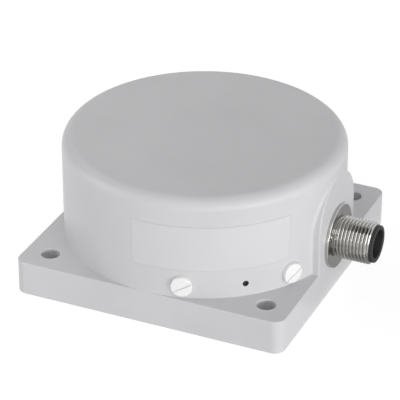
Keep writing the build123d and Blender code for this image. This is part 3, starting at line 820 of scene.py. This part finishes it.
# Connector shell with its M12 x 1 thread, cut as a helix
shell = {
    "tailX": 30.2,
    "backX": housing["side"] / 2,
    "flangeX": 41.0,
    "threadX": 41.4,
    "runOut": 0.35,  # length of the slope from the relief groove up to the thread
    "helixX": 41.6,
    "endX": 51.2,
    "helixPast": 0.5,  # how far the helix runs past the tube's end
    "boreRadius": 4.85,
    "threadRadius": 6.0,
    "flangeRadius": 9.2,
    "flangeRound": 0.25,
    "backChamfer": 0.1,
    "grooveRadius": 5.3,
    "grooveCorner": 0.15,
    "endChamfer": 0.55,
    "pitch": 1.0,
    "threadDepth": 0.61,
    "threadTurn": 90,  # where the helix starts round the tube
    "rootFlat": 0.14,
    "crestFlat": 0.16,
    "crestRound": 0.1,
    "mouthReach": (0.1, 0.08),  # how far the groove's mouth goes past the crest, outwards and sideways
    "stepsPerTurn": 72,
}


def threadTool(start, end):
    # a V groove that winds along the thread and leaves its crests rounded
    s = shell
    outer, root, crest = s["threadRadius"], s["threadRadius"] - s["threadDepth"], s["crestRound"]
    mouth = (s["pitch"] - s["crestFlat"]) / 2
    half = [
        (root, s["rootFlat"] / 2), (outer - crest, mouth - crest), (outer, mouth),
        (outer + s["mouthReach"][0], mouth + s["mouthReach"][1]),
    ]
    corners = [(radius, start - width) for radius, width in reversed(half)]
    corners += [(radius, start + width) for radius, width in half]
    turns = (end - start) / s["pitch"]
    form = sweep(corners, 2 * pi * turns, round(turns * s["stepsPerTurn"]), climb=end - start)
    return placed(form, Matrix.Rotation(radians(s["threadTurn"]), 4, "Z"))


def makeShell():
    s = shell
    bore, thread, flange, groove = s["boreRadius"], s["threadRadius"], s["flangeRadius"], s["grooveRadius"]
    back, rounding, corner = s["backChamfer"], s["flangeRound"], s["grooveCorner"]
    profile = [
        (bore, s["tailX"]), (thread, s["tailX"]), (thread, s["backX"]),
        (flange - back, s["backX"]), (flange, s["backX"] + back),
    ]
    profile += arcPoints((flange - rounding, s["flangeX"] - rounding), rounding, 0, 90, steps=5)
    profile += [
        (groove + corner, s["flangeX"]), (groove, s["flangeX"] + corner),
        (groove, s["threadX"]), (thread, s["threadX"] + s["runOut"]),
        (thread, s["endX"] - s["endChamfer"]), (thread - s["endChamfer"], s["endX"]), (bore, s["endX"]),
    ]
    tube = asObject("threaded_shell", lathe(profile, steps=144))
    tool = threadTool(s["helixX"], s["endX"] + s["helixPast"])
    combine(tube, asObject("groove", tool), "DIFFERENCE")
    tube.data.transform(connectorFrame())
    finishPiece(tube, "root", "nickel_plated", "connector_shell", crease=28)


makeShell()


# Black insert with its round socket and key
insert = {
    "backX": 30.0,
    "lipX": shell["endX"],
    "frontX": 52.2,
    "floorX": 42.7,
    "radius": 4.8,
    "lipRadius": 5.3,
    "socketRadius": 4.1,
    "edge": 0.2,
    "mouthChamfer": 0.15,
    "keyWidth": 1.0,
    "keyReach": 3.2,
    "keySunk": 0.3,  # how far the key starts in the socket's wall and floor
    "contactCircle": 2.5,
    "contactAngles": (45, 135, 225, 315),
    "contactHole": 0.54,
}


def makeInsert():
    i = insert
    radius, lip, socket = i["radius"], i["lipRadius"], i["socketRadius"]
    edge, mouth, front, floor = i["edge"], i["mouthChamfer"], i["frontX"], i["floorX"]
    profile = [
        (0, i["backX"]), (radius - edge, i["backX"]), (radius, i["backX"] + edge),
        (radius, i["lipX"]), (lip, i["lipX"]),
    ]
    profile += arcPoints((lip - edge, front - edge), edge, 0, 90, steps=5)
    profile += [(socket + mouth, front), (socket, front - mouth), (socket, floor), (0, floor)]
    core = asObject("socket_insert", lathe(profile, steps=128))
    keyFoot, keyBack = socket + i["keySunk"], floor - i["keySunk"]
    key = block(i["keyWidth"], keyFoot - i["keyReach"], i["lipX"] - keyBack)
    middle = (0, (keyFoot + i["keyReach"]) / 2, (i["lipX"] + keyBack) / 2)
    combine(core, asObject("key", placed(key, Matrix.Translation(middle))), "UNION")
    holes = rodRing(
        i["contactHole"], i["backX"] - past, floor + past, i["contactCircle"], i["contactAngles"], steps=24,
    )
    combine(core, joined(holes), "DIFFERENCE")
    core.data.transform(connectorFrame())
    finishPiece(core, "root", "insert_plastic", "connector_insert")


makeInsert()


# The other CAD nodes keep their shape and get their finish
slotOf = {part["node"]: part["material_slot"] for part in frame["record"]["subparts"]}


def dressNodes():
    for name, node in frame["nodes"].items():
        node.data.materials.clear()
        node.data.materials.append(finish[slotOf[name]])
    print("dressed", len(frame["nodes"]), "nodes")


dressNodes()


# Studio: pale floor, white surroundings, soft lamps, and cards that paint dark and grey reflections into the
# plating
studio = {
    "floorHalf": 4.0,
    "floorHeight": -0.00004,  # a hair under the plate, so that the two faces don't flicker
    "floorGrey": 0.8,
    "floorRoughness": 0.9,
    "floorGlow": 0.82,
    "floorShade": 0.3,  # how much of the light the glowing floor sends back, so that shadows stay faint
    "ambient": 0.35,
    "aim": (0, 0, 0.02),
    "lamps": [
        {"name": "overFront", "azimuth": -50, "elevation": 40, "distance": 0.9, "size": 0.5, "share": 0.12},
        {"name": "right", "azimuth": -5, "elevation": 12, "distance": 0.9, "size": 0.5, "share": 0.207},
        {"name": "lowRight", "azimuth": -30, "elevation": 6, "distance": 1.4, "size": 0.25, "share": 0.24},
        {"name": "lowFront", "azimuth": -60, "elevation": 6, "distance": 1.4, "size": 0.25, "share": 0.203},
        {"name": "left", "azimuth": -150, "elevation": 20, "distance": 0.35, "size": 0.2, "share": 0.245},
        {"name": "backLeft", "azimuth": 160, "elevation": 45, "distance": 0.35, "size": 0.2, "share": 0.151},
    ],
    # painted reflections: a near-black sheet above, and a glowing grey sheet on the floor beside the flange,
    # seen only in gloss
    "cards": [
        {
            "name": "darkAbove", "place": (-0.45, 0.1, 0.5), "aim": (0, 0, 0),
            "size": (0.6, 1.3), "glow": 0.01,
        },
        {
            "name": "greyBeside", "place": (0.058, 0.03, 0.001), "aim": (0.058, 0.03, 1),
            "size": (0.034, 0.09), "glow": 0.4,
        },
    ],
}


def seenDirectly(tree):
    # 1 for what the camera, a gloss or clear plastic looks at, else 0
    rays = tree.nodes.new("ShaderNodeLightPath")
    total = rays.outputs["Is Camera Ray"]
    for kind in ("Is Glossy Ray", "Is Transmission Ray"):
        add = tree.nodes.new("ShaderNodeMath")
        add.operation = "MAXIMUM"
        tree.links.new(total, add.inputs[0])
        tree.links.new(rays.outputs[kind], add.inputs[1])
        total = add.outputs[0]
    return total


def makeWorld():
    world = bpy.data.worlds.new("studio")
    scene.world = world
    world.use_nodes = True
    tree = world.node_tree
    background = tree.nodes["Background"]
    background.inputs["Color"].default_value = (1, 1, 1, 1)
    strength = tree.nodes.new("ShaderNodeMapRange")
    strength.inputs["To Min"].default_value = studio["ambient"]
    strength.inputs["To Max"].default_value = 1.0
    tree.links.new(seenDirectly(tree), strength.inputs["Value"])
    tree.links.new(strength.outputs["Result"], background.inputs["Strength"])


def makeFloor():
    # a grey floor for the light on the object, shown to the camera and to gloss as a glowing white one
    form = bmesh.new()
    bmesh.ops.create_grid(form, x_segments=1, y_segments=1, size=studio["floorHalf"])
    bmesh.ops.translate(form, verts=form.verts, vec=(0, 0, studio["floorHeight"]))
    floor = asObject("floor", form)
    material = bpy.data.materials.new("paleFloor")
    material.use_nodes = True
    tree = material.node_tree
    shader = tree.nodes["Principled BSDF"]
    shader.inputs["Base Color"].default_value = (*[studio["floorGrey"]] * 3, 1)
    shader.inputs["Roughness"].default_value = studio["floorRoughness"]
    shader.inputs["Specular IOR Level"].default_value = 0.0
    dim = tree.nodes.new("ShaderNodeBsdfDiffuse")
    dim.inputs["Color"].default_value = (*[studio["floorShade"]] * 3, 1)
    glow = tree.nodes.new("ShaderNodeEmission")
    glow.inputs["Strength"].default_value = studio["floorGlow"]
    seen = tree.nodes.new("ShaderNodeAddShader")
    tree.links.new(dim.outputs[0], seen.inputs[0])
    tree.links.new(glow.outputs[0], seen.inputs[1])
    mix = tree.nodes.new("ShaderNodeMixShader")
    tree.links.new(seenDirectly(tree), mix.inputs["Fac"])
    tree.links.new(shader.outputs[0], mix.inputs[1])
    tree.links.new(seen.outputs[0], mix.inputs[2])
    tree.links.new(mix.outputs[0], tree.nodes["Material Output"].inputs["Surface"])
    floor.data.materials.append(material)


def makeLamp(settings):
    data = bpy.data.lights.new(settings["name"], "AREA")
    data.shape = "DISK"
    data.size = settings["size"]
    data.energy = settings["share"] * pi * pi * settings["distance"] ** 2  # a share of full white
    turn, rise = radians(settings["azimuth"]), radians(settings["elevation"])
    away = Vector((cos(turn) * cos(rise), sin(turn) * cos(rise), sin(rise)))
    lamp = bpy.data.objects.new(settings["name"], data)
    lamp.location = Vector(studio["aim"]) + away * settings["distance"]
    lamp.rotation_euler = (-away).to_track_quat("-Z", "Y").to_euler()
    scene.collection.objects.link(lamp)


def makeReflectionCard(card):
    # a card that only gloss and metal see, so that the plating shows its shape: a painted reflection, from a
    # near-black or a glowing grey sheet that is no lamp
    form = bmesh.new()
    bmesh.ops.create_grid(form, x_segments=1, y_segments=1, size=0.5)
    bmesh.ops.scale(form, vec=(*card["size"], 1), verts=form.verts)
    place = Vector(card["place"])
    facing = Vector(card["aim"]) - place
    form.transform(Matrix.Translation(place) @ facing.to_track_quat("Z", "Y").to_matrix().to_4x4())
    sheet = asObject(card["name"], form)
    material = bpy.data.materials.new(card["name"])
    material.use_nodes = True
    shader = material.node_tree.nodes["Principled BSDF"]
    shader.inputs["Base Color"].default_value = (0, 0, 0, 1)
    shader.inputs["Roughness"].default_value = 1.0
    shader.inputs["Emission Color"].default_value = (1, 1, 1, 1)
    shader.inputs["Emission Strength"].default_value = card["glow"]
    sheet.data.materials.append(material)
    for kind in ("camera", "diffuse", "transmission", "volume_scatter", "shadow"):
        setattr(sheet, f"visible_{kind}", False)


makeWorld()
makeFloor()
for card in studio["cards"]:
    makeReflectionCard(card)
for settings in studio["lamps"]:
    makeLamp(settings)
print("studio lit")
